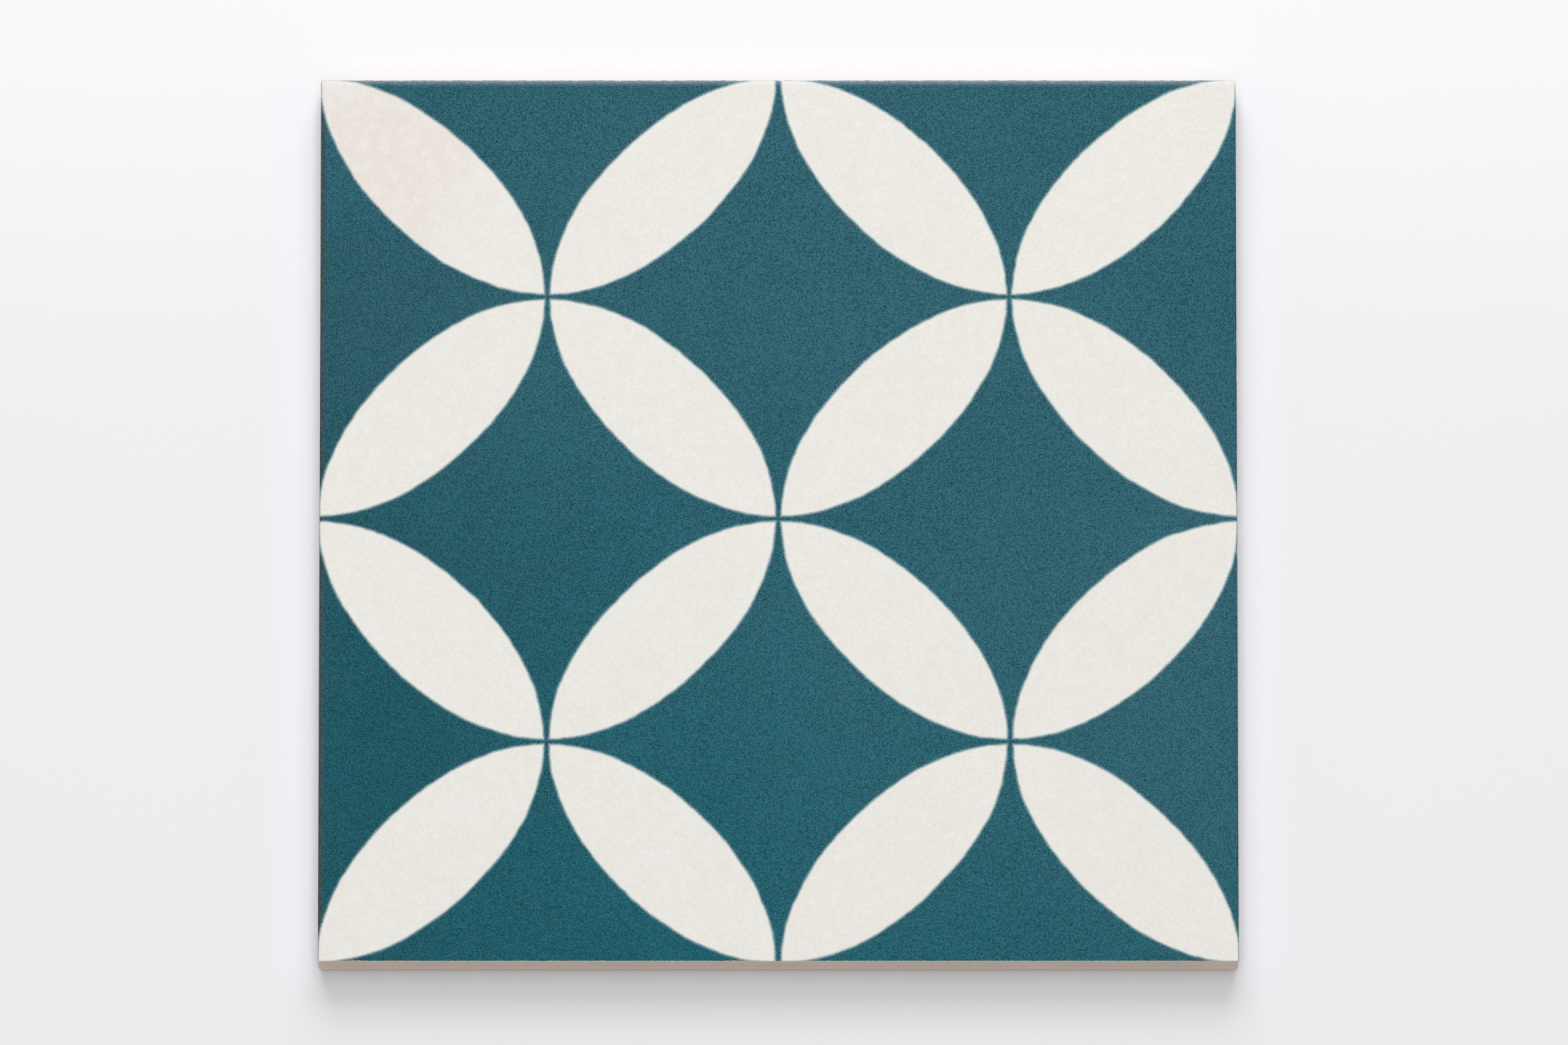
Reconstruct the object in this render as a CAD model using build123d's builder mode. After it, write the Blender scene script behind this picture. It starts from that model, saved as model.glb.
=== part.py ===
from build123d import *
import os

# Square pressed porcelain tile, fired as one piece, lying on its back with the printed face up.
# Origin in the middle of the back, +Z up, +Y to the far side. Sizes in millimetres.

# Body, measured over the upper band of the sides
tile_width = 200.0
tile_length = 200.0
tile_thickness = 10.0

# Face edge: rolled over on the left (-X) and far (+Y) sides, crisp on the right and front sides
roll_width = 1.4
roll_drop = 0.5
crisp_radius = 0.3

# Rib round the sides where the two halves of the press mould met
rib_level = 3.85
rib_root = 1.5
rib_crest = 0.7
rib_out = 0.1
corner_radius = 0.8

# Foot of the sides: the lower band leans in by the draft and ends in a bevel
foot_draft = 0.4
foot_bevel = 0.6

# Keying relief of the back: a grid of shallow pockets with webs between them, inside a plain rim
rim_least = 8.0
pocket_side = 21.5
pocket_corner = 2.5
pocket_depth = 0.9
pocket_slope = 25.0
web_width = 4.5

pocket_step = pocket_side + web_width
pockets_across = max(1, int((tile_width - 2 * rim_least + web_width) // pocket_step))
pockets_along = max(1, int((tile_length - 2 * rim_least + web_width) // pocket_step))

side_section = Plane(origin=(0, 0, 0), x_dir=(0, -1, 0), z_dir=(-1, 0, 0))
sections = [
    (Plane.XZ, tile_width, tile_length, Mode.ADD),
    (side_section, tile_length, tile_width, Mode.INTERSECT),
]

with BuildPart() as tile:
    # Each section has the rolled edge on its left and the crisp edge on its right.
    # The second one trims the first.
    for plane, span, reach, mode in sections:
        with BuildSketch(plane):
            with BuildLine():
                half = span / 2
                root_low = rib_level - rib_root / 2
                root_high = rib_level + rib_root / 2
                crest_low = rib_level - rib_crest / 2
                crest_high = rib_level + rib_crest / 2
                left_side = Polyline(
                    (-half + foot_draft + foot_bevel, 0),
                    (-half + foot_draft, foot_bevel),
                    (-half, root_low),
                    (-half - rib_out, crest_low),
                    (-half - rib_out, crest_high),
                    (-half, root_high),
                    (-half, tile_thickness - roll_drop),
                )
                rolled_edge = EllipticalCenterArc(
                    (-half + roll_width, tile_thickness - roll_drop),
                    roll_width,
                    roll_drop,
                    start_angle=90,
                    arc_size=90,
                )
                right_side = Polyline(
                    (half - foot_draft - foot_bevel, 0),
                    (half - foot_draft, foot_bevel),
                    (half, root_low),
                    (half + rib_out, crest_low),
                    (half + rib_out, crest_high),
                    (half, root_high),
                    (half, tile_thickness - crisp_radius),
                )
                crisp_edge = CenterArc(
                    (half - crisp_radius, tile_thickness - crisp_radius), crisp_radius, 0, 90
                )
                Line((-half + roll_width, tile_thickness), (half - crisp_radius, tile_thickness))
                Line((-half + foot_draft + foot_bevel, 0), (half - foot_draft - foot_bevel, 0))
            make_face()
        extrude(amount=reach, both=True, mode=mode)

    # The upright corners, rounded over the rib
    with BuildSketch():
        RectangleRounded(tile_width + 2 * rib_out, tile_length + 2 * rib_out, corner_radius)
    extrude(amount=tile_thickness, mode=Mode.INTERSECT)

    # The pockets of the back
    with BuildSketch():
        with GridLocations(pocket_step, pocket_step, pockets_across, pockets_along):
            RectangleRounded(pocket_side, pocket_side, pocket_corner)
    extrude(amount=pocket_depth, taper=pocket_slope, mode=Mode.SUBTRACT)

tile.part.label = "tile"

os.makedirs("parts", exist_ok=True)
export_step(tile.part, "parts/tile.step")
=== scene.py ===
"""Printed porcelain tile with a petal pattern, lying face up on a pale floor.

The tile is one fired piece: a pressed slab with two rolled and two crisp face edges, a parting rib
round its sides and a grid of keying pockets on its back. All lengths are metres in the CAD frame.
"""

import math
import random

import bmesh
import bpy
from bpy.props import FloatProperty, FloatVectorProperty, IntProperty, PointerProperty
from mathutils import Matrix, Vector, noise


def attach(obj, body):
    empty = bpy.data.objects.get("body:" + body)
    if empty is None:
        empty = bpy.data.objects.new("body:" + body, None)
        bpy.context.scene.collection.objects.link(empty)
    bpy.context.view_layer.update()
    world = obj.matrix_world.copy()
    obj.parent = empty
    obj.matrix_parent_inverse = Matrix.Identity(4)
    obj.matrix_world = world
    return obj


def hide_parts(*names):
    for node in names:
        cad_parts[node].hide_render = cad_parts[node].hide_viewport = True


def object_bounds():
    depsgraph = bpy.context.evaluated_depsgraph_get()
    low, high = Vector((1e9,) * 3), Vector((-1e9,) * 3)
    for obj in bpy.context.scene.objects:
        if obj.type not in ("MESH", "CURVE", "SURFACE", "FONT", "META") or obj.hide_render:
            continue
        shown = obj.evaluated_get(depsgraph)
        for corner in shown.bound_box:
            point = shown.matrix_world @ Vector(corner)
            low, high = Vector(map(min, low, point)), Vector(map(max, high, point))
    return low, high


bl_info = {
    "name": "Petal Tile",
    "version": (1, 0, 0),
    "blender": (4, 5, 0),
    "location": "View3D > Sidebar > Tile",
    "description": "Builds a printed porcelain tile with a pocketed back, and a stage to see it on",
    "category": "Object",
}

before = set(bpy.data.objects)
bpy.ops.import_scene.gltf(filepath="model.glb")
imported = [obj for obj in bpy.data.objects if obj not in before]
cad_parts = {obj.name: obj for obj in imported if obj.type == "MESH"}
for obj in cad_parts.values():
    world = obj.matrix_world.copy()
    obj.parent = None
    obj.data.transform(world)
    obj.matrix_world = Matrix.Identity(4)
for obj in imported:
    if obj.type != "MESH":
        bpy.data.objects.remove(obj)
CAD_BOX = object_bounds()
CAD_SIZE = CAD_BOX[1] - CAD_BOX[0]

MM = 0.001
RIB_OUT = 0.1 * MM

# Pixels across the picture and across the tile in it
PICTURE_PIXELS = 2352
TILE_PIXELS = 1376

# The four sides by their outward direction, anticlockwise from above; each runs towards the next one
SIDES = [Vector((0, -1, 0)), Vector((1, 0, 0)), Vector((0, 1, 0)), Vector((-1, 0, 0))]
ROLLED = [False, False, True, True]
RAGGED = [False, False, True, False]

# Mesh steps: along a pocket's cell, side steps to each of those, round a corner, up an edge and a band
CELL_STEPS = 15
SIDE_SPLIT = 4
CORNER_STEPS = 4
EDGE_ROWS = 8
BAND_ROWS = 4

# Mesh strips: on the back inside the foot and on the face inside the edges
BACK_STRIP = 1.0 * MM
FACE_STRIPS = (0.3 * MM, 0.9 * MM)

# From the upper band to the even grid of the face
FACE_MARGIN = 3.2 * MM

# Pocket: mesh strips round its mouth and on its floor, and its softness as a multiple of the sides'
MOUTH_STRIP = 0.4 * MM
FLOOR_STRIP = 0.8 * MM
POCKET_SOFTNESS = 1.3

# Least radii of the upright corners and of a pocket's corners
LEAST_CORNER = 0.35 * MM
LEAST_POCKET_CORNER = 0.2 * MM

# Mesh edges that turn by more than this angle stay sharp, and vertices within this gap become one
SHARP_ANGLE = math.radians(40)
WELD_GAP = 0.001 * MM

# Noise waves to a metre: coarse and fine rag of the edges, sides, rib and face
COARSE_RAG = 330
FINE_RAG = 900
SIDE_WAVES = 110
RIB_WAVES = 260
FACE_WAVES = 24

# Sets the rib's noise apart from that of the sides
RIB_SHIFT = Vector((7, 3, 1))

# Below the face: start of the sides' lean, the height it grows over, and the height the waves grow over
LEAN_START = 0.4 * MM
LEAN_RUN = 1.2 * MM
WAVE_RUN = 1.0 * MM

# How far wear lowers an edge, as a share of how far it sets it in
WEAR_DOWN = 0.8

# Nicks: reach along the edge in millimetres, depth as a share of the deepest
NICK_REACH = (0.7, 2.2)
NICK_SHARE = (0.25, 1.0)

# Radius of a petal's side in the middle and its growth towards the tips, as shares of the petal's cell
PETAL_RADIUS = 0.9435
PETAL_GROWTH = 0.0429
TIP_GROWTH = 0.0028

# Bleed of the print at a petal's outline, from its start to full white, measured into the petal
BLEED = (-0.68 * MM, 0.48 * MM)

# Ground: way of its darkening towards the front left, partly painted shade, then where that and the
# painted shade at the left start and are full
DEEPENING_AND_SHADE_WAY = (0.6, 0.8)
DEEPENING_AND_SHADE = (60 * MM, -140 * MM)
SHADE_ACROSS = (-25 * MM, -95 * MM)
SHADE_ALONG = (85 * MM, 45 * MM)

# Pinholes: cells they are drawn in, where one starts and is full, and the draws that have one
PIT_CELL = 2 * MM
PIT_EDGE = (0.34 * MM, 0.10 * MM)
PIT_DRAW = (0.10, 0.05)

# Rolled edges: where the left strip starts and is full, and the width of the far strip, a painted sheen
LEFT_STRIP = (1.40 * MM, 0.90 * MM)
FAR_SHEEN = 1.75 * MM

# Where the painted shade on the outermost line starts and is full, and the same for the print at the front
# edge
EDGE_SHADE_LINE = (0.28 * MM, 0.10 * MM)
PRINT_START = (0.04 * MM, 0.26 * MM)

# How far down the print reaches, how much further close to the other three edges, where that
# starts and is full, and half the blur at its end
LIP = 0.16 * MM
WRAP = 0.38 * MM
WRAP_ZONE = (2.4 * MM, 1.6 * MM)
LIP_BLUR = 0.03 * MM

# Stain on the far left petal: middle, half spans, and where it starts and is full as shares of those
BLUSH_PLACE = (-84 * MM, 83 * MM)
BLUSH_SPAN = (26 * MM, 29 * MM)
BLUSH_FADE = (1.0, 0.3)

# Body, where each starts and is full: painted highlight from the rib's level, stain and cream from
# the face, wash from the back
RIB_HIGHLIGHT = (0.75 * MM, 0.45 * MM)
STAINED_BODY = (1.8 * MM, 0.7 * MM)
CREAM_LAYER = (0.62 * MM, 0.42 * MM)
WASHED_BACK = (0.35 * MM, 0.05 * MM)

# Floor: gap under the tile, then where its lighter part behind and its lighter, cooler part beside start
# and are full; both are painted light
FLOOR_GAP = 0.02 * MM
FLOOR_BEHIND = (20 * MM, 130 * MM)
FILL_ACROSS = (14 * MM, 2 * MM)
FILL_ALONG = (8 * MM, -8 * MM)

# Lamps: middle, width and height
WINDOW = ((0, 1.5, 1.5), 1.6, 1.5)
CEILING = ((0, -0.15, 1.6), 0.5, 1.6)

# Light from all round
SKY_COLOUR = (0.98, 0.99, 1.0, 1.0)

# Camera: width of its sensor in millimetres, and how far it sees in metres
SENSOR_WIDTH = 36.0
SIGHT = 100.0

# Sockets of a Mix node that has its data type set to RGBA
MIX_SHARE, MIX_FIRST, MIX_SECOND, MIX_RESULT = 0, 6, 7, 2


def length(name, description, default):
    """A length property shown in the scene's units."""
    return FloatProperty(
        name=name, description=description, default=default, min=0.0, precision=5, unit="LENGTH"
    )


def colour(name, description, default):
    """A linear colour property."""
    return FloatVectorProperty(
        name=name, description=description, default=default, size=3, min=0.0, max=1.0, subtype="COLOR"
    )


def number(name, description, default):
    """A plain number property."""
    return FloatProperty(name=name, description=description, default=default)


def angle(name, description, degrees):
    """An angle property."""
    return FloatProperty(
        name=name, description=description, default=math.radians(degrees), subtype="ANGLE"
    )


def power(name, description, default):
    """A lamp power property."""
    return FloatProperty(name=name, description=description, default=default, min=0.0, unit="POWER")


class TileSizes(bpy.types.PropertyGroup):
    """Sizes of the fired piece."""

    width: length("Width", "Side to side over the upper band", CAD_SIZE.x - 2 * RIB_OUT)
    depth: length("Length", "Front to far side over the upper band", CAD_SIZE.y - 2 * RIB_OUT)
    thickness: length("Thickness", "Back to face", CAD_SIZE.z)
    corner_radius: length("Corner radius", "Upright corners at the upper band", 0.45 * MM)
    roll_width: length("Roll width", "How far the rolled edges reach into the face", 1.4 * MM)
    roll_drop: length("Roll drop", "How far the rolled edges fall", 0.5 * MM)
    crisp_radius: length("Crisp radius", "Radius of the two crisp edges", 0.3 * MM)
    rib_level: length("Rib level", "Middle of the parting rib above the back", 3.85 * MM)
    rib_root: length("Rib root", "Height of the parting rib at its root", 1.5 * MM)
    rib_crest: length("Rib crest", "Height of the parting rib at its crest", 0.7 * MM)
    rib_out: length("Rib reach", "How far the parting rib stands out", RIB_OUT)
    foot_draft: length("Foot draft", "How far the lower band leans in", 0.4 * MM)
    foot_bevel: length("Foot bevel", "Bevel round the back", 0.6 * MM)
    softness: length("Softness", "Reach of the rounding on the moulded corners", 0.16 * MM)
    rim_least: length("Least rim", "Plain rim of the back, at least", 8.0 * MM)
    pocket_side: length("Pocket side", "Side of a keying pocket at its mouth", 21.5 * MM)
    pocket_corner: length("Pocket corner", "Corner radius of a pocket at its mouth", 2.5 * MM)
    pocket_depth: length("Pocket depth", "Depth of the keying pockets", 0.9 * MM)
    pocket_slope: angle("Pocket slope", "Lean of the pocket walls", 25)
    web_width: length("Web width", "Width of the webs between pockets", 4.5 * MM)
    slight_rag: length("Slight rag", "How uneven the smoother edges are", 0.04 * MM)
    far_rag: length("Far rag", "How uneven the far edge is", 0.24 * MM)
    edge_wear: length("Edge wear", "How far from an edge its rag and nicks reach", 0.7 * MM)
    side_wave: length("Side waves", "Depth of the waves of the sides", 0.03 * MM)
    side_lean: length("Side lean", "How far the sides lean in below the face", 0.18 * MM)
    face_wave: length("Face waves", "Depth of the waves of the face", 0.02 * MM)
    nick: length("Nicks", "Depth of the deepest nicks in the crisp edges", 0.12 * MM)
    nick_count: IntProperty(name="Nick count", description="Nicks in each crisp edge", default=7, min=0)
    seed: IntProperty(name="Seed", description="Places of the nicks", default=11, min=0)

    def pockets(self, span):
        """How many pockets fit across a span of the back."""
        step = self.pocket_side + self.web_width
        return max(1, int((span - 2 * self.rim_least + self.web_width) / step))


class TileFinish(bpy.types.PropertyGroup):
    """Colours and scale of the print and the fired body."""

    petal_cell: length("Petal cell", "Side of the square that one petal fills", 50.42 * MM)
    teal_deep: colour("Deep teal", "Darkest grains of the ground", (0.0, 0.061, 0.084))
    teal_light: colour("Light teal", "Palest grains of the ground", (0.0635, 0.1755, 0.219))
    # Front tint: partly a drift of the print, partly painted shade towards the front left
    teal_front_drift_and_shade: colour("Front tint", "Tint of the ground towards the front left", (0.318, 0.955, 0.955))
    # Left tint: painted shade of the ground towards the left side
    teal_left_shade: colour("Left tint", "Tint of the ground towards the left side", (0.95, 0.845, 0.845))
    petal_white: colour("Petal", "Palest grains of the petals", (0.884, 0.862, 0.813))
    petal_grey: colour("Petal grain", "Darkest grains of the petals", (0.812, 0.782, 0.731))
    blush: colour("Blush", "Tint of the stain on the far left petal", (0.972, 0.922, 0.914))
    fringe: colour("Fringe", "Tint of the print's bleed round the petals", (0.74, 0.95, 1.0))
    edge_slate: colour("Left edge", "Thin print on the left rolled edge", (0.048, 0.082, 0.093))
    # Far edge: painted sheen, light glancing off the far rolled edge painted in as pale grey
    far_edge_sheen: colour("Far edge", "Worn print on the far rolled edge", (0.300, 0.345, 0.385))
    # Edge line: painted shade on the outermost line of the face, where it turns away from the light
    edge_shade: colour("Edge line", "Tint of the soiled outermost line of the face", (0.36, 0.35, 0.35))
    pit: colour("Pits", "Pinholes in the ground", (0.003, 0.018, 0.026))
    engobe: colour("Engobe", "Cream layer under the print", (0.665, 0.63, 0.51))
    stain: colour("Stain", "Body just under the cream layer", (0.56, 0.473, 0.366))
    body: colour("Body", "Fired body", (0.667, 0.538, 0.462))
    kiln_wash: colour("Kiln wash", "Pale wash left on the back", (0.78, 0.76, 0.72))


class StageSettings(bpy.types.PropertyGroup):
    """Floor, light and camera."""

    floor_near: colour("Floor, near", "Colour of the floor in front and beside", (0.885, 0.886, 0.902))
    # Floor, far: painted light where the far lamp falls
    floor_far_painted_light: colour("Floor, far", "Colour of the floor behind", (0.955, 0.955, 0.968))
    # Floor, beside: painted light, lighter and cooler against the tile's shadow and warm bounce
    floor_beside_painted_fill: colour(
        "Floor, beside", "Cooler floor close to the left and right sides", (0.905, 0.93, 0.99)
    )
    floor_size: length("Floor size", "Side of the square floor", 12.0)
    tilt: angle("Camera tilt", "Lean of the view from straight above", 16)
    lens: FloatProperty(
        name="Focal length", description="Long lens that keeps the edges parallel", default=800.0
    )
    tile_share: number(
        "Tile share", "Tile's width as a share of the picture's", TILE_PIXELS / PICTURE_PIXELS
    )
    aim_right: length("Aim right", "How far right of the tile's middle the camera looks", 1.24 * MM)
    aim_far: length("Aim far", "How far behind the tile's middle the camera looks", 0.6 * MM)
    window_power: power("Window power", "Soft light from the far side", 23.5)
    ceiling_power: power("Ceiling power", "Soft light from overhead", 7.9)
    sky: number("Sky", "Strength of the light from all round", 0.40)
    backdrop: number("Backdrop", "Brightness of the surroundings as the camera sees them", 0.9)


class Wire:
    """A node socket that can stand in a Python expression."""

    def __init__(self, sheet, socket):
        self.sheet = sheet
        self.socket = socket

    def __add__(self, other):
        return self.sheet.math("ADD", self, other)

    def __sub__(self, other):
        return self.sheet.math("SUBTRACT", self, other)

    def __mul__(self, other):
        return self.sheet.math("MULTIPLY", self, other)

    def __truediv__(self, other):
        return self.sheet.math("DIVIDE", self, other)

    def __radd__(self, other):
        return self.sheet.math("ADD", other, self)

    def __rsub__(self, other):
        return self.sheet.math("SUBTRACT", other, self)

    def __rmul__(self, other):
        return self.sheet.math("MULTIPLY", other, self)


class NodeSheet:
    """A node tree that is filled from Python expressions."""

    def __init__(self, tree):
        self.tree = tree
        tree.nodes.clear()

    def node(self, kind, settings=(), inputs=()):
        """Adds one node: its settings first, then the values or links of its sockets."""
        made = self.tree.nodes.new(kind)
        for name, value in dict(settings).items():
            setattr(made, name, value)
        for name, value in dict(inputs).items():
            if isinstance(value, Wire):
                self.tree.links.new(value.socket, made.inputs[name])
            else:
                made.inputs[name].default_value = value
        return made

    def wire(self, kind, output=0, settings=(), inputs=()):
        """Adds one node and gives one of its outputs."""
        return Wire(self, self.node(kind, settings, inputs).outputs[output])

    def math(self, operation, *values):
        """Adds a Math node."""
        return self.wire("ShaderNodeMath", 0, {"operation": operation}, enumerate(values))

    def step(self, value, low, high):
        """Goes smoothly from 0 where value is low to 1 where it is high."""
        inputs = {"Value": value, "From Min": low, "From Max": high}
        return self.wire("ShaderNodeMapRange", "Result", {"interpolation_type": "SMOOTHSTEP"}, inputs)

    def mix(self, share, first, second, blend="MIX"):
        """Mixes two colours."""
        inputs = {MIX_SHARE: share, MIX_FIRST: first, MIX_SECOND: second}
        settings = {"data_type": "RGBA", "blend_type": blend}
        return self.wire("ShaderNodeMix", MIX_RESULT, settings, inputs)

    def tint(self, share, first, second):
        """Multiplies a colour by another one, by a share."""
        return self.mix(share, first, second, "MULTIPLY")

    def grain(self, place, size, detail=0.0, roughness=0.5):
        """Noise from about -1 to 1 whose blobs are about size metres apart."""
        inputs = {"Vector": place, "Scale": 1 / size, "Detail": detail, "Roughness": roughness}
        return self.wire("ShaderNodeTexNoise", "Fac", (), inputs) * 4 - 2


def opaque(rgb, level=1.0):
    """A colour property, made lighter or darker, as the four numbers that a socket takes."""
    return (*(level * part for part in rgb), 1.0)


# The print and the fired body


def petal_reach(sheet, x, y, cell):
    """Metres from the nearest petal's outline, positive inside it.

    Every petal lies on the diagonal of a square cell, and the cells mirror one another. Its two sides
    swing about the other two corners of the cell, a little closer in the middle than at the tips.
    """
    across = sheet.math("PINGPONG", x / cell, 1.0)
    along = sheet.math("PINGPONG", y / cell, 1.0)
    far = sheet.math("MAXIMUM", across, along)
    near = 1 - sheet.math("MINIMUM", across, along)
    far_square = far * far
    near_square = near * near
    total = far_square + near_square
    lean = (far_square - near_square) / total
    lean_square = lean * lean
    radius = PETAL_RADIUS + lean_square * (PETAL_GROWTH + TIP_GROWTH * lean_square)
    return (radius - sheet.math("SQRT", total)) * cell


class Grain:
    """Noise that the finishes share, from fine to coarse."""

    def __init__(self, sheet, place):
        self.dust = sheet.grain(place, 0.20 * MM)
        self.fine = sheet.grain(place, 0.36 * MM)
        self.medium = sheet.grain(place, 0.85 * MM)
        self.mottle = sheet.grain(place, 2.2 * MM)
        self.clouds = sheet.grain(place, 10 * MM, 2.0)
        self.drift = sheet.grain(place, 60 * MM, 1.0)


class Margins:
    """Distances of a place from the four sides and the face."""

    def __init__(self, sheet, sizes, x, y, z):
        self.left = x + sizes.width / 2
        self.right = sizes.width / 2 - x
        self.front = y + sizes.depth / 2
        self.far = sizes.depth / 2 - y
        self.face = sizes.thickness - z
        self.rolled = sheet.math("MINIMUM", self.left, self.far)


def pinholes(sheet, place):
    """Sparse small pits, 1 in their middle: one cell in many has one."""
    spots = sheet.node("ShaderNodeTexVoronoi", (), {"Vector": place, "Scale": 1 / PIT_CELL})
    gap = Wire(sheet, spots.outputs["Distance"]) * PIT_CELL
    draw = sheet.wire("ShaderNodeSeparateColor", 0, (), {"Color": Wire(sheet, spots.outputs["Color"])})
    return sheet.step(gap, *PIT_EDGE) * sheet.step(draw, *PIT_DRAW)


def ground_colour(sheet, finish, grain, margins, x, y, pits):
    """Grainy teal, deeper towards the front left corner partly as painted shade, shaded on the left, grey
    print on the left rolled edge, painted sheen on the far one.
    """
    tone = 0.5 + grain.dust * 0.44 + grain.fine * 0.35 + grain.medium * 0.10 + grain.mottle * 0.03
    tone = tone + grain.clouds * 0.05 + grain.drift * 0.06
    ground = sheet.mix(tone, opaque(finish.teal_deep), opaque(finish.teal_light))
    # Darker towards the front left: partly a drift of the print, partly painted shade
    along = x * DEEPENING_AND_SHADE_WAY[0] + y * DEEPENING_AND_SHADE_WAY[1]
    deepening_and_shade = sheet.step(along + grain.drift * (8 * MM), *DEEPENING_AND_SHADE)
    uneven = grain.medium * 0.12 + grain.mottle * 0.13 + grain.clouds * 0.10
    ground = sheet.tint(0.12 + deepening_and_shade * 0.76 + uneven, ground, opaque(finish.teal_front_drift_and_shade))
    # Painted shade of the ground towards the left side
    shaded = sheet.step(x + grain.drift * (10 * MM), *SHADE_ACROSS) * sheet.step(y, *SHADE_ALONG)
    ground = sheet.tint(shaded, ground, opaque(finish.teal_left_shade))
    ground = sheet.mix(pits * 0.85, ground, opaque(finish.pit))
    ragged = grain.fine * (0.10 * MM) + grain.medium * (0.14 * MM)
    slate = sheet.mix(tone, opaque(finish.edge_slate, 0.6), opaque(finish.edge_slate, 1.4))
    ground = sheet.mix(sheet.step(margins.left + ragged * 0.7, *LEFT_STRIP), ground, slate)
    # Painted sheen: the far rolled edge is painted pale grey, palest at its outer edge
    pale = sheet.mix(tone, opaque(finish.far_edge_sheen, 0.7), opaque(finish.far_edge_sheen, 1.3))
    sheen_share = 1 - sheet.math("MINIMUM", (margins.far + ragged) / FAR_SHEEN, 1.0)
    return sheet.mix(sheet.math("POWER", sheen_share, 1.5), ground, pale)


def petal_colour(sheet, finish, grain, x, y, pits):
    """Warm off-white, faintly mottled, with a stain on the far left petal."""
    tone = 0.5 + grain.dust * 0.32 + grain.fine * 0.32 + grain.medium * 0.21 + grain.mottle * 0.13
    tone = tone + grain.clouds * 0.09 + grain.drift * 0.06
    white = sheet.mix(tone, opaque(finish.petal_white), opaque(finish.petal_grey))
    across = (x - BLUSH_PLACE[0]) / BLUSH_SPAN[0]
    along = (y - BLUSH_PLACE[1]) / BLUSH_SPAN[1]
    spread = sheet.math("SQRT", across * across + along * along) + grain.clouds * 0.3
    stained = sheet.step(spread, *BLUSH_FADE) * (0.8 + grain.mottle * 0.2)
    white = sheet.tint(stained, white, opaque(finish.blush))
    return sheet.mix(pits * 0.06, white, opaque(finish.pit))


def printed_colour(sheet, finish, grain, margins, petal, ground, white):
    """Off-white petals on the teal ground, with a bluish bleed between and a painted shade line at the
    outermost edge.
    """
    share = petal * petal
    printed = sheet.mix(share, ground, white)
    printed = sheet.tint(petal * (1 - petal) * 4, printed, opaque(finish.fringe))
    # Painted shade: a grey line on the outermost face of the rolled and right edges, stronger over the
    # petals
    outermost = sheet.math("MINIMUM", margins.rolled, margins.right)
    line = sheet.step(outermost + grain.fine * (0.04 * MM), *EDGE_SHADE_LINE)
    return sheet.tint(line * (0.25 + share * 0.7), printed, opaque(finish.edge_shade))


def body_colour(sheet, finish, grain, margins, z, rib_level, speck, pits):
    """Beige fired body: cream layer and stain just under the face, painted highlight on the rib, pale wash
    on the back.
    """
    ragged = grain.fine * (0.06 * MM) + grain.medium * (0.10 * MM)
    shade = 0.5 + speck * 0.25 + grain.clouds * 0.2
    biscuit = sheet.mix(shade, opaque(finish.body, 0.88), opaque(finish.body, 1.12))
    # Painted highlight: the rib is painted lighter where it would catch light from above
    rib_highlight = sheet.step(sheet.math("ABSOLUTE", z - rib_level), *RIB_HIGHLIGHT)
    biscuit = sheet.mix(rib_highlight * 0.7, biscuit, opaque(finish.body, 1.18))
    biscuit = sheet.mix(pits * 0.6, biscuit, opaque(finish.body, 0.4))
    stained = sheet.step(margins.face + ragged * 2, *STAINED_BODY)
    biscuit = sheet.mix(stained, biscuit, opaque(finish.stain))
    layer = sheet.step(margins.face + ragged, *CREAM_LAYER)
    biscuit = sheet.mix(layer, biscuit, opaque(finish.engobe))
    patches = sheet.step(grain.medium * 0.3 + grain.clouds * 0.6 + grain.drift, -0.6, 0.6)
    washed = sheet.step(z, *WASHED_BACK) * patches
    return sheet.mix(washed * 0.75, biscuit, opaque(finish.kiln_wash))


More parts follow.
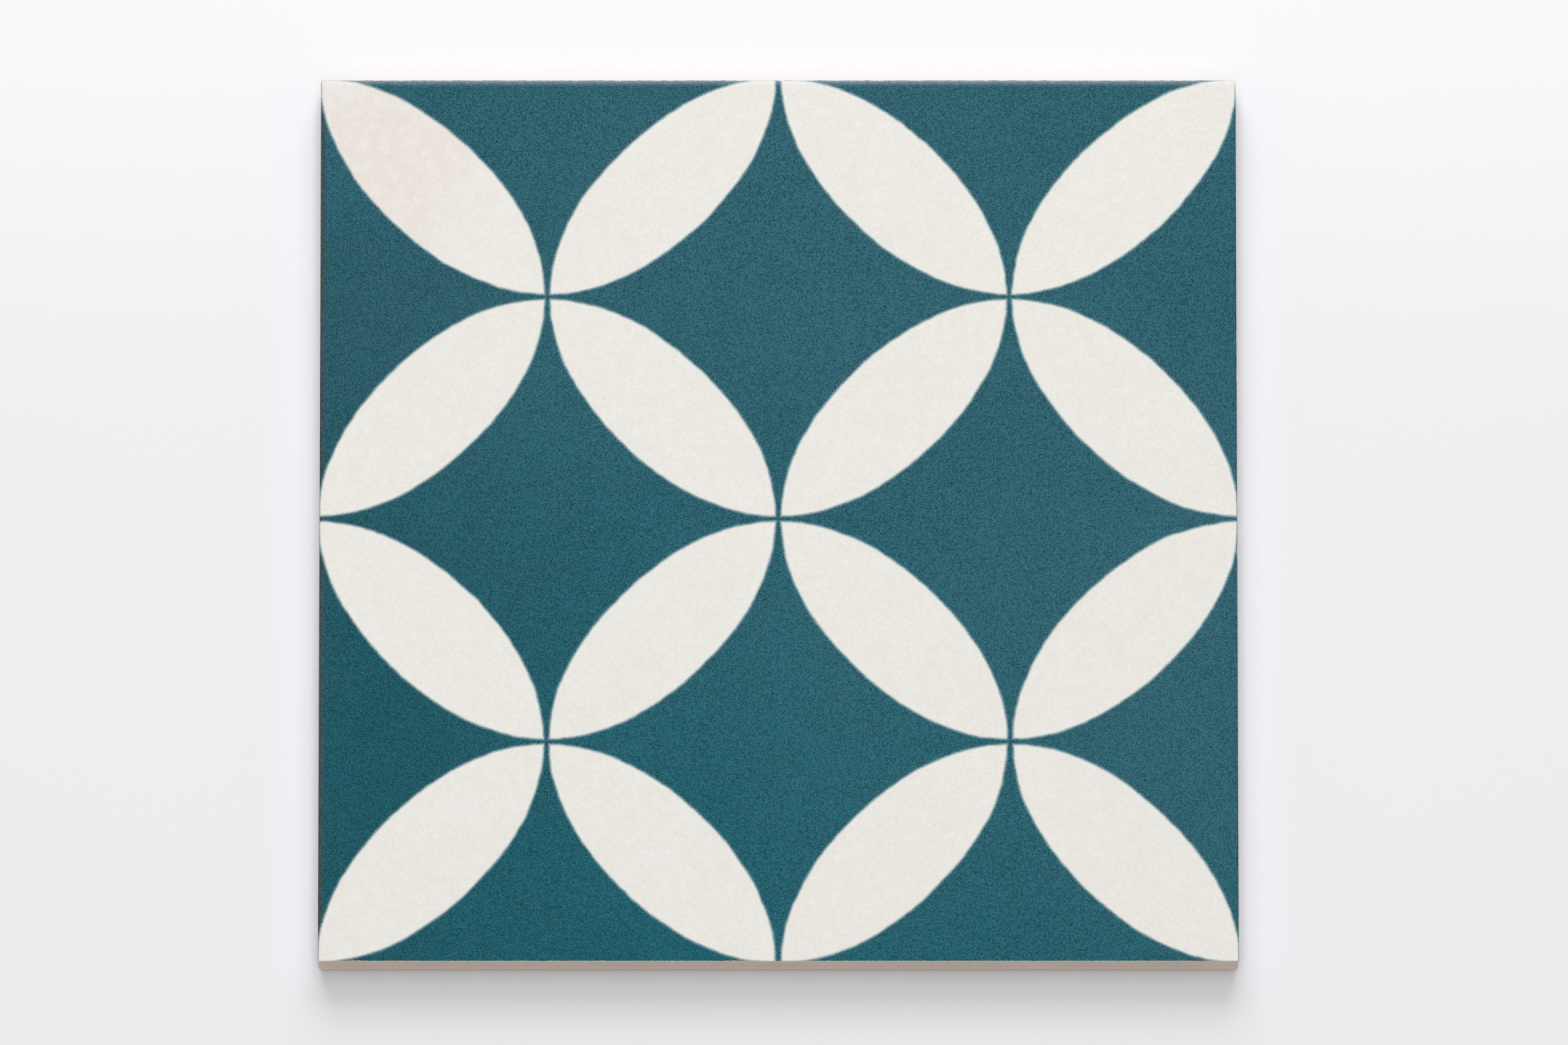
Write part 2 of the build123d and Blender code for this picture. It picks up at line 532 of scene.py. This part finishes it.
def tile_material(sizes, finish):
    """Matt print on the face and rolled edges, bare fired body on the sides and back."""
    material = bpy.data.materials.new("printed_porcelain")
    material.use_nodes = True
    sheet = NodeSheet(material.node_tree)
    place = sheet.wire("ShaderNodeTexCoord", "Object")
    axes = sheet.node("ShaderNodeSeparateXYZ", (), {"Vector": place})
    x, y, z = (Wire(sheet, socket) for socket in axes.outputs)
    grain = Grain(sheet, place)
    margins = Margins(sheet, sizes, x, y, z)
    speck = sheet.grain(place, 0.5 * MM, 2.0, 0.7)

    fray = grain.dust * (0.03 * MM) + grain.fine * (0.05 * MM)
    wobble = grain.mottle * (0.07 * MM) + grain.clouds * (0.17 * MM)
    inside = petal_reach(sheet, x, y, finish.petal_cell) + fray + wobble
    petal = sheet.step(inside, *BLEED)
    pits = pinholes(sheet, place)
    ground = ground_colour(sheet, finish, grain, margins, x, y, pits)
    white = petal_colour(sheet, finish, grain, x, y, pits)
    printed = printed_colour(sheet, finish, grain, margins, petal, ground, white)
    biscuit = body_colour(sheet, finish, grain, margins, z, sizes.rib_level, speck, pits)

    # The print ends at the front edge and runs over the other three
    within = sheet.step(margins.front + fray, *PRINT_START)
    wrapped = sheet.math("MINIMUM", margins.rolled, margins.right)
    lip = LIP + sheet.step(wrapped, *WRAP_ZONE) * WRAP
    above = sheet.step(margins.face + fray * 0.5, lip + LIP_BLUR, lip - LIP_BLUR)
    inked = within * above
    base = sheet.mix(inked, biscuit, printed)

    print_rough = 0.58 - petal * 0.05 + grain.medium * 0.03
    body_rough = 0.88 + speck * 0.04
    rough = body_rough + (print_rough - body_rough) * inked
    relief = grain.fine * 0.5 + grain.medium * 0.5 + (1 - inked) * speck * 1.5
    bump = sheet.wire(
        "ShaderNodeBump", "Normal", (), {"Strength": 0.25, "Distance": 0.02 * MM, "Height": relief}
    )
    shader = sheet.wire(
        "ShaderNodeBsdfPrincipled",
        "BSDF",
        (),
        {"Base Color": base, "Roughness": rough, "Normal": bump, "Specular IOR Level": 0.05},
    )
    sheet.node("ShaderNodeOutputMaterial", (), {"Surface": shader})
    return material


# The fired piece


def softened(corners, reach):
    """A polyline with each inner corner replaced by a short curve."""
    points = [corners[0]]
    for before, corner, after in zip(corners, corners[1:], corners[2:]):
        start = corner + (before - corner).normalized() * min(reach, (before - corner).length / 2)
        end = corner + (after - corner).normalized() * min(reach, (after - corner).length / 2)
        points += [start, (start + 2 * corner + end) / 4, end]
    return points + [corners[-1]]


def side_profile(sizes, rolled):
    """Points of one side from the back to the face, as (inset from the upper band, height)."""
    edge_width = sizes.roll_width if rolled else sizes.crisp_radius
    edge_drop = sizes.roll_drop if rolled else sizes.crisp_radius
    shoulder = sizes.thickness - edge_drop
    foot = sizes.foot_draft + sizes.foot_bevel
    half_root = sizes.rib_root / 2
    half_crest = sizes.rib_crest / 2
    profile = softened(
        [
            Vector((foot + BACK_STRIP, 0)),
            Vector((foot, 0)),
            Vector((sizes.foot_draft, sizes.foot_bevel)),
            Vector((0, sizes.rib_level - half_root)),
            Vector((-sizes.rib_out, sizes.rib_level - half_crest)),
            Vector((-sizes.rib_out, sizes.rib_level + half_crest)),
            Vector((0, sizes.rib_level + half_root)),
            Vector((0, shoulder)),
        ],
        sizes.softness,
    )
    band_top = profile.pop()
    band_foot = profile[-1]
    profile += [band_foot.lerp(band_top, row / BAND_ROWS) for row in range(1, BAND_ROWS)]
    for row in range(EDGE_ROWS + 1):
        turn = math.radians(90) * row / EDGE_ROWS
        inset = edge_width * (1 - math.cos(turn))
        profile.append(Vector((inset, shoulder + edge_drop * math.sin(turn))))
    return profile + [Vector((edge_width + inset, sizes.thickness)) for inset in FACE_STRIPS]


def outline(sizes, points, steps):
    """Places round the slab for one profile point on each side.

    Gives for each side its straight run and the corner after it, as (place, outward direction).
    """
    halves = [sizes.depth / 2, sizes.width / 2, sizes.depth / 2, sizes.width / 2]
    reach = [half - point.x for half, point in zip(halves, points)]
    radii = []
    for side in range(4):
        inset = max(points[side].x, points[(side + 1) % 4].x)
        radii.append(max(LEAST_CORNER, sizes.corner_radius - inset))
    runs = []
    for side in range(4):
        after = (side + 1) % 4
        start = radii[side - 1] - reach[side - 1]
        end = reach[after] - radii[side]
        straight = []
        for step in range(steps[side] + 1):
            place = SIDES[side] * reach[side] + SIDES[after] * (start + (end - start) * step / steps[side])
            place.z = points[side].y
            straight.append((place, SIDES[side]))
        corner = []
        for step in range(1, CORNER_STEPS):
            turn = math.radians(90) * step / CORNER_STEPS
            outward = SIDES[side] * math.cos(turn) + SIDES[after] * math.sin(turn)
            place = SIDES[side] * (reach[side] - radii[side]) + SIDES[after] * end + outward * radii[side]
            place.z = points[side].y + (points[after].y - points[side].y) * step / CORNER_STEPS
            corner.append((place, outward))
        runs.append((straight, corner))
    return runs


class Wear:
    """Rag and nicks of the face edges, waves of the sides and the face."""

    def __init__(self, sizes):
        self.sizes = sizes
        draw = random.Random(sizes.seed)
        self.nicks = []
        for side in range(4):
            half = (sizes.width if side % 2 == 0 else sizes.depth) / 2
            for _ in range(0 if ROLLED[side] else sizes.nick_count):
                along = SIDES[(side + 1) % 4] * draw.uniform(-half, half)
                reach = draw.uniform(*NICK_REACH) * MM
                self.nicks.append((side, along, reach, sizes.nick * draw.uniform(*NICK_SHARE)))

    def moved(self, place, outward, point, side):
        """A skin place after wear; point is its place on the side's profile."""
        sizes = self.sizes
        drop = sizes.thickness - point.y
        near_edge = math.exp(-(((point.x**2 + drop**2) ** 0.5 / sizes.edge_wear) ** 2))
        rag = 0.5 + 0.2 * noise.noise(place * COARSE_RAG) + 0.5 * noise.noise(place * FINE_RAG)
        inward = (sizes.far_rag if RAGGED[side] else sizes.slight_rag) * max(0.0, rag) * near_edge
        for nick_side, along, reach, depth in self.nicks:
            if nick_side == side:
                tangent = SIDES[(side + 1) % 4]
                gap = (place.dot(tangent) - along.dot(tangent)) / reach
                inward += depth * max(0.0, 1 - gap * gap) * near_edge
        wave = sizes.side_wave * (0.5 + 0.5 * noise.noise(place * SIDE_WAVES))
        if point.x < 0:
            wave -= point.x * (0.25 + 0.25 * noise.noise(place * RIB_WAVES + RIB_SHIFT))
        lean = sizes.side_lean * min(1.0, max(0.0, drop - LEAN_START) / LEAN_RUN)
        inset = inward + lean + wave * min(1.0, drop / WAVE_RUN)
        return place - outward * inset - Vector((0, 0, WEAR_DOWN * inward))


def face_dip(place, sizes):
    """How far the pressed face dips at a place."""
    return sizes.face_wave * (0.5 + 0.5 * noise.noise(place * FACE_WAVES))


def facing(mesh, corners, down=False):
    """Adds a face, turned over where it looks down."""
    mesh.faces.new(reversed(corners) if down else corners)


def bridge(mesh, runs, frame_runs, down=False):
    """Joins a skin ring to a plain rectangle inside it, whose sides may have fewer steps."""
    for side in range(4):
        straight, corner = runs[side]
        inner = frame_runs[side]
        split = (len(straight) - 1) // (len(inner) - 1)
        for step in range(len(inner) - 1):
            outer = straight[step * split : (step + 1) * split + 1]
            middle = split // 2
            for first, second in zip(outer[:middle], outer[1 : middle + 1]):
                facing(mesh, [first, second, inner[step]], down)
            facing(mesh, [outer[middle], inner[step + 1], inner[step]], down)
            for first, second in zip(outer[middle:], outer[middle + 1 :]):
                facing(mesh, [first, second, inner[step + 1]], down)
        turn = [straight[-1], *corner, runs[(side + 1) % 4][0][0]]
        for first, second in zip(turn, turn[1:]):
            facing(mesh, [first, second, inner[-1]], down)


def rectangle(mesh, half_width, half_depth, height, steps):
    """Vertices of a plain rectangle, side by side, each with both its corners."""
    halves = [half_depth, half_width, half_depth, half_width]
    ring = []
    for side in range(4):
        after = (side + 1) % 4
        for step in range(steps[side]):
            along = halves[after] * (2 * step / steps[side] - 1)
            place = SIDES[side] * halves[side] + SIDES[after] * along
            ring.append(mesh.verts.new((place.x, place.y, height)))
    runs = []
    start = 0
    for side in range(4):
        run = ring[start : start + steps[side]]
        start += steps[side]
        runs.append([*run, ring[start % len(ring)]])
    return runs


def pocket_outline(sizes, inset):
    """Places round a pocket at an inset from its mouth, from corner middle to corner middle."""
    half = sizes.pocket_side / 2 - inset
    radius = max(LEAST_POCKET_CORNER, sizes.pocket_corner - inset)
    bend = CELL_STEPS // 5
    places = []
    for side in range(4):
        out, along = SIDES[side], SIDES[(side + 1) % 4]
        for step in range(CELL_STEPS):
            if step < bend:
                turn = math.radians(45) * (1 - step / bend)
                place = (out - along) * (half - radius)
                place += (out * math.cos(turn) - along * math.sin(turn)) * radius
            elif step <= CELL_STEPS - bend:
                share = (step - bend) / (CELL_STEPS - 2 * bend)
                place = out * half + along * (half - radius) * (2 * share - 1)
            else:
                turn = math.radians(45) * (step - CELL_STEPS + bend) / bend
                place = (out + along) * (half - radius)
                place += (out * math.cos(turn) + along * math.sin(turn)) * radius
            places.append(place)
    return places


def pocket_cell(sizes):
    """Mesh of one square of the back: a drafted pocket with half a web round it, open downwards."""
    run = sizes.pocket_depth * math.tan(sizes.pocket_slope)
    walls = softened(
        [
            Vector((-MOUTH_STRIP, 0)),
            Vector((0, 0)),
            Vector((run, sizes.pocket_depth)),
            Vector((run + FLOOR_STRIP, sizes.pocket_depth)),
        ],
        POCKET_SOFTNESS * sizes.softness,
    )
    mesh = bmesh.new()
    half = (sizes.pocket_side + sizes.web_width) / 2
    edge = rectangle(mesh, half, half, 0, [CELL_STEPS] * 4)
    rows = [[vertex for run in edge for vertex in run[:-1]]]
    for point in walls:
        places = pocket_outline(sizes, point.x)
        rows.append([mesh.verts.new((place.x, place.y, point.y)) for place in places])
    for outer, inner in zip(rows, rows[1:]):
        for step in range(len(outer)):
            after = (step + 1) % len(outer)
            facing(mesh, [outer[step], outer[after], inner[after], inner[step]], down=True)
    middle = mesh.verts.new((0, 0, sizes.pocket_depth))
    for first, second in zip(rows[-1], rows[-1][1:] + rows[-1][:1]):
        facing(mesh, [first, second, middle], down=True)
    cell = bpy.data.meshes.new("pocket_cell")
    mesh.to_mesh(cell)
    mesh.free()
    return cell


def pocket_field_tree():
    """Geometry nodes that repeat one square of the back over the pocket grid."""
    tree = bpy.data.node_groups.new("pocket_field", "GeometryNodeTree")
    face = tree.interface
    face.new_socket("Geometry", in_out="OUTPUT", socket_type="NodeSocketGeometry")
    face.new_socket("Cell", in_out="INPUT", socket_type="NodeSocketGeometry")
    face.new_socket("Across", in_out="INPUT", socket_type="NodeSocketInt")
    face.new_socket("Along", in_out="INPUT", socket_type="NodeSocketInt")
    face.new_socket("Step", in_out="INPUT", socket_type="NodeSocketFloat")
    face.new_socket("Finish", in_out="INPUT", socket_type="NodeSocketMaterial")
    sheet = NodeSheet(tree)
    given = sheet.node("NodeGroupInput")
    cell, across, along, step, finish = (Wire(sheet, socket) for socket in given.outputs[:5])
    points = sheet.wire(
        "GeometryNodeMeshGrid",
        "Mesh",
        (),
        {
            "Size X": (across - 1) * step,
            "Size Y": (along - 1) * step,
            "Vertices X": across,
            "Vertices Y": along,
        },
    )
    cells = sheet.wire("GeometryNodeInstanceOnPoints", 0, (), {"Points": points, "Instance": cell})
    whole = sheet.wire("GeometryNodeRealizeInstances", 0, (), {"Geometry": cells})
    dressed = sheet.wire("GeometryNodeSetMaterial", 0, (), {"Geometry": whole, "Material": finish})
    sheet.node("NodeGroupOutput", (), {"Geometry": dressed})
    return tree


def pocket_field(sizes, material, across, along):
    """Mesh of the whole pocket grid."""
    holder = bpy.data.objects.new("pocket_field", pocket_cell(sizes))
    bpy.context.collection.objects.link(holder)
    modifier = holder.modifiers.new("pocket_field", "NODES")
    modifier.node_group = pocket_field_tree()
    values = {
        "Across": across,
        "Along": along,
        "Step": sizes.pocket_side + sizes.web_width,
        "Finish": material,
    }
    for item in modifier.node_group.interface.items_tree:
        if item.in_out == "INPUT" and item.name in values:
            modifier[item.identifier] = values[item.name]
    depsgraph = bpy.context.evaluated_depsgraph_get()
    field = bpy.data.meshes.new_from_object(holder.evaluated_get(depsgraph))
    bpy.data.objects.remove(holder)
    return field


# Places on the bake map: the face with the sides folded out round it, and the back beside it
NET_SHARE = 0.78
MAP_GAP = 0.006
NET_MARGIN = 3 * MM


def net_place(spread, sizes):
    """Bake-map place of a point of the folded-out face and sides."""
    reach = max(sizes.width, sizes.depth) + 2 * (sizes.thickness + NET_MARGIN)
    scale = (NET_SHARE - 2 * MAP_GAP) / reach
    return (NET_SHARE / 2 + spread.x * scale, NET_SHARE / 2 + spread.y * scale)


def back_place(place, sizes):
    """Bake-map place of a point of the back, squeezed into the strip beside the net."""
    across = (1 - NET_SHARE - 2 * MAP_GAP) / sizes.width
    along = (1 - 2 * MAP_GAP) / sizes.depth
    return ((1 + NET_SHARE) / 2 + place.x * across, 0.5 + place.y * along)


def tile_mesh(sizes, material):
    """The whole fired piece as one closed mesh."""
    across, along = sizes.pockets(sizes.width), sizes.pockets(sizes.depth)
    cell_step = sizes.pocket_side + sizes.web_width
    inner_steps = [across * CELL_STEPS, along * CELL_STEPS] * 2
    outer_steps = [SIDE_SPLIT * count for count in inner_steps]
    profiles = [side_profile(sizes, rolled) for rolled in ROLLED]
    wear = Wear(sizes)
    mesh = bmesh.new()
    spread = {}

    # The skin, ring by ring from the back to the face
    rings = []
    for points in zip(*profiles):
        runs = []
        for side, (straight, corner) in enumerate(outline(sizes, points, outer_steps)):
            made = []
            for part in (straight, corner):
                places = [wear.moved(place, out, points[side], side) for place, out in part]
                made.append([(mesh.verts.new(place), out) for place, (_, out) in zip(places, part)])
            runs.append(made)
        rings.append(runs)
    columns = [[item for run in ring for part in run for item in part] for ring in rings]
    for low, high in zip(columns, columns[1:]):
        for step in range(len(low)):
            after = (step + 1) % len(low)
            facing(mesh, [low[step][0], low[after][0], high[after][0], high[step][0]])

    # Each column folds out from the face
    for step, (top, outward) in enumerate(columns[-1]):
        fold = top.co.copy()
        spread[top] = fold.copy()
        for upper, lower in zip(reversed(columns), reversed(columns[:-1])):
            fold = fold + outward * (upper[step][0].co - lower[step][0].co).length
            spread[lower[step][0]] = fold.copy()

    # The face
    half_width, half_depth = sizes.width / 2 - FACE_MARGIN, sizes.depth / 2 - FACE_MARGIN
    face_frame = rectangle(mesh, half_width, half_depth, sizes.thickness, inner_steps)
    plain_runs = [[[vertex for vertex, _ in part] for part in run] for run in rings[-1]]
    bridge(mesh, plain_runs, face_frame)
    front, right, far, left = face_frame
    rows = [front]
    for row in range(1, inner_steps[1]):
        share = row / inner_steps[1]
        inside = []
        for step in range(1, inner_steps[0]):
            place = Vector((half_width * (2 * step / inner_steps[0] - 1), half_depth * (2 * share - 1), 0))
            inside.append(mesh.verts.new((place.x, place.y, sizes.thickness - face_dip(place, sizes))))
        rows.append([left[inner_steps[1] - row], *inside, right[row]])
    rows.append(list(reversed(far)))
    for near, beyond in zip(rows, rows[1:]):
        for step in range(inner_steps[0]):
            facing(mesh, [near[step], near[step + 1], beyond[step + 1], beyond[step]])

    # The back: a plain rim, then the pocket grid
    rim_frame = rectangle(mesh, across * cell_step / 2, along * cell_step / 2, 0, inner_steps)
    foot_runs = [[[vertex for vertex, _ in part] for part in run] for run in rings[0]]
    net_faces = set(mesh.faces)
    bridge(mesh, foot_runs, rim_frame, down=True)
    field = pocket_field(sizes, material, across, along)
    mesh.from_mesh(field)
    bpy.data.meshes.remove(field)

    layer = mesh.loops.layers.uv.new("OFBake")
    for face in mesh.faces:
        for loop in face.loops:
            if face in net_faces:
                loop[layer].uv = net_place(spread.get(loop.vert, loop.vert.co), sizes)
            else:
                loop[layer].uv = back_place(loop.vert.co, sizes)
        face.smooth = True
        face.material_index = 0
    bmesh.ops.remove_doubles(mesh, verts=mesh.verts, dist=WELD_GAP)
    tile = bpy.data.meshes.new("tile_fired")
    mesh.to_mesh(tile)
    mesh.free()
    tile.materials.clear()
    tile.materials.append(material)
    tile.set_sharp_from_angle(angle=SHARP_ANGLE)
    return tile


class TILE_OT_fired_piece(bpy.types.Operator):
    """Build the fired tile with its print"""

    bl_idname = "tile.fired_piece"
    bl_label = "Fired Tile"

    def execute(self, context):
        scene = context.scene
        material = tile_material(scene.tile_sizes, scene.tile_finish)
        piece = bpy.data.objects.new("tile_fired", tile_mesh(scene.tile_sizes, material))
        context.collection.objects.link(piece)
        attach(piece, "root")
        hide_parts("tile")
        return {"FINISHED"}


# The stage


def floor_material(stage, sizes):
    """Pale matt floor with painted light: lighter behind the tile and cooler close beside it, with a faint
    unevenness.
    """
    material = bpy.data.materials.new("pale_floor")
    material.use_nodes = True
    sheet = NodeSheet(material.node_tree)
    place = sheet.wire("ShaderNodeTexCoord", "Object")
    axes = sheet.node("ShaderNodeSeparateXYZ", (), {"Vector": place})
    x = Wire(sheet, axes.outputs["X"])
    y = Wire(sheet, axes.outputs["Y"])
    uneven = sheet.grain(place, 6 * MM, 2.0) * (3 * MM)
    # Painted light: lighter floor behind the tile, where the far lamp falls
    behind = sheet.step(y + uneven, *FLOOR_BEHIND)
    base = sheet.mix(behind, opaque(stage.floor_near), opaque(stage.floor_far_painted_light))
    gap = sheet.math("ABSOLUTE", x) - sizes.width / 2
    past = sheet.math("ABSOLUTE", y) - sizes.depth / 2
    # Painted light: lighter, cooler floor beside the tile against its shadow and warm bounce
    beside = sheet.step(gap, *FILL_ACROSS) * sheet.step(past, *FILL_ALONG)
    base = sheet.mix(beside, base, opaque(stage.floor_beside_painted_fill))
    shader = sheet.wire(
        "ShaderNodeBsdfPrincipled",
        "BSDF",
        (),
        {"Base Color": base, "Roughness": 0.9, "Specular IOR Level": 0.2},
    )
    sheet.node("ShaderNodeOutputMaterial", (), {"Surface": shader})
    return material


def add_floor(context, stage, sizes):
    """Lays the floor just under the tile."""
    half = stage.floor_size / 2
    corners = [(-half, -half), (half, -half), (half, half), (-half, half)]
    data = bpy.data.meshes.new("floor")
    data.from_pydata([(x, y, -FLOOR_GAP) for x, y in corners], [], [(0, 1, 2, 3)])
    data.materials.append(floor_material(stage, sizes))
    floor = bpy.data.objects.new("floor", data)
    context.collection.objects.link(floor)


def add_sky(context, stage):
    """Even light from all round, with pale surroundings."""
    world = bpy.data.worlds.new("studio")
    world.use_nodes = True
    context.scene.world = world
    sheet = NodeSheet(world.node_tree)
    rays = sheet.node("ShaderNodeLightPath")
    straight = Wire(sheet, rays.outputs["Is Camera Ray"])
    mirrored = Wire(sheet, rays.outputs["Is Glossy Ray"])
    through = Wire(sheet, rays.outputs["Is Transmission Ray"])
    seen = sheet.math("MAXIMUM", sheet.math("MAXIMUM", straight, mirrored), through)
    strength = stage.sky + seen * (stage.backdrop - stage.sky)
    light = sheet.wire("ShaderNodeBackground", 0, (), {"Color": SKY_COLOUR, "Strength": strength})
    sheet.node("ShaderNodeOutputWorld", (), {"Surface": light})


def add_lamp(context, name, place, width, height, strength):
    """Hangs a soft lamp that shines on the tile."""
    lamp = bpy.data.lights.new(name, "AREA")
    lamp.shape = "RECTANGLE"
    lamp.size = width
    lamp.size_y = height
    lamp.energy = strength
    hung = bpy.data.objects.new(name, lamp)
    context.collection.objects.link(hung)
    hung.location = place
    hung.rotation_mode = "QUATERNION"
    hung.rotation_quaternion = (-Vector(place)).to_track_quat("-Z", "Y")
    hung.visible_camera = False


def add_camera(context, stage, sizes):
    """Looks down on the tile from the front, far off through a long lens."""
    data = bpy.data.cameras.new("camera")
    data.lens = stage.lens
    data.sensor_width = SENSOR_WIDTH
    data.clip_end = SIGHT
    camera = bpy.data.objects.new("camera", data)
    context.collection.objects.link(camera)
    picture_width = sizes.width / stage.tile_share
    distance = picture_width * data.lens / data.sensor_width
    aim = Vector((stage.aim_right, stage.aim_far, sizes.thickness / 2))
    back = Vector((0, -math.sin(stage.tilt), math.cos(stage.tilt)))
    camera.location = aim + back * distance
    camera.rotation_mode = "QUATERNION"
    camera.rotation_quaternion = (-back).to_track_quat("-Z", "Y")
    context.scene.camera = camera


class TILE_OT_stage(bpy.types.Operator):
    """Set the floor, the light and the camera"""

    bl_idname = "tile.stage"
    bl_label = "Stage"

    def execute(self, context):
        stage = context.scene.tile_stage
        sizes = context.scene.tile_sizes
        add_floor(context, stage, sizes)
        add_sky(context, stage)
        add_lamp(context, "window", *WINDOW, stage.window_power)
        add_lamp(context, "ceiling", *CEILING, stage.ceiling_power)
        add_camera(context, stage, sizes)
        context.scene.view_settings.view_transform = "Standard"
        return {"FINISHED"}


class TILE_PT_panel(bpy.types.Panel):
    """Sizes, finish and stage of the tile"""

    bl_idname = "TILE_PT_panel"
    bl_label = "Petal Tile"
    bl_space_type = "VIEW_3D"
    bl_region_type = "UI"
    bl_category = "Tile"

    def draw(self, context):
        for group in (context.scene.tile_sizes, context.scene.tile_finish, context.scene.tile_stage):
            box = self.layout.box()
            for name in group.__annotations__:
                box.prop(group, name)
        self.layout.operator(TILE_OT_fired_piece.bl_idname)
        self.layout.operator(TILE_OT_stage.bl_idname)


CLASSES = (TileSizes, TileFinish, StageSettings, TILE_OT_fired_piece, TILE_OT_stage, TILE_PT_panel)


def register():
    for kind in CLASSES:
        bpy.utils.register_class(kind)
    bpy.types.Scene.tile_sizes = PointerProperty(type=TileSizes)
    bpy.types.Scene.tile_finish = PointerProperty(type=TileFinish)
    bpy.types.Scene.tile_stage = PointerProperty(type=StageSettings)


def unregister():
    del bpy.types.Scene.tile_stage
    del bpy.types.Scene.tile_finish
    del bpy.types.Scene.tile_sizes
    for kind in reversed(CLASSES):
        bpy.utils.unregister_class(kind)


def main():
    register()
    bpy.ops.tile.fired_piece()
    bpy.ops.tile.stage()


if __name__ == "__main__":
    main()
